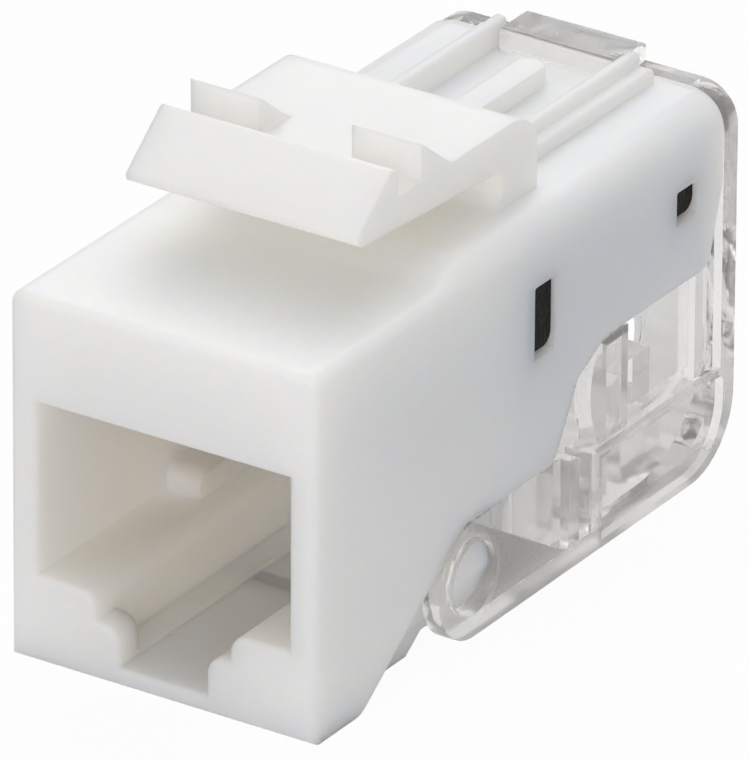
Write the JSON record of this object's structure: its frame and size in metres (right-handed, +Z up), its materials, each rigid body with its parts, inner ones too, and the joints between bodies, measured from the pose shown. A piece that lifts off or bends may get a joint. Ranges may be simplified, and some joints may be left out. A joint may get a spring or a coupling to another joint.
{
  "type": "keystone jack module",
  "caption": "Tool-less keystone jack module: white housing with a modular plug socket and flexing panel latch, and a clear hinged cap that presses the wires home.",
  "frame": {"origin": "middle of the bounding box at the foot", "axes": "+Z up, the socket faces -Y, the cable leaves along +Y, +X to the right seen from the socket"},
  "size_m": [0.0144, 0.031, 0.0218],
  "materials": {
    "white_plastic": "satin moulded white, slightly translucent",
    "clear_plastic": "clear moulded polycarbonate",
    "black_plastic": "fine-grained black moulding",
    "board": "green solder mask",
    "gilt_wire": "gold-plated spring wire",
    "tinned_bronze": "tinned bronze sheet"
  },
  "bodies": {
    "housing": {"housing": "white_plastic", "contact_carrier": "black_plastic", "circuit_board": "board", "jack_contact_1": "gilt_wire", "jack_contact_2": "gilt_wire", "jack_contact_3": "gilt_wire", "jack_contact_4": "gilt_wire", "jack_contact_5": "gilt_wire", "jack_contact_6": "gilt_wire", "jack_contact_7": "gilt_wire", "jack_contact_8": "gilt_wire", "idc_terminal_1": "tinned_bronze", "idc_terminal_2": "tinned_bronze", "idc_terminal_3": "tinned_bronze", "idc_terminal_4": "tinned_bronze", "idc_terminal_5": "tinned_bronze", "idc_terminal_6": "tinned_bronze", "idc_terminal_7": "tinned_bronze", "idc_terminal_8": "tinned_bronze"},
    "cap": {"wiring_cap": "clear_plastic"}
  },
  "joints": [
    {"name": "cap_hinge", "type": "hinge", "parent": "housing", "child": "cap", "pos_m": [0, -0.0039, 0.0026], "axis": [-1, 0, 0], "range_deg": [0, 90]}
  ]
}
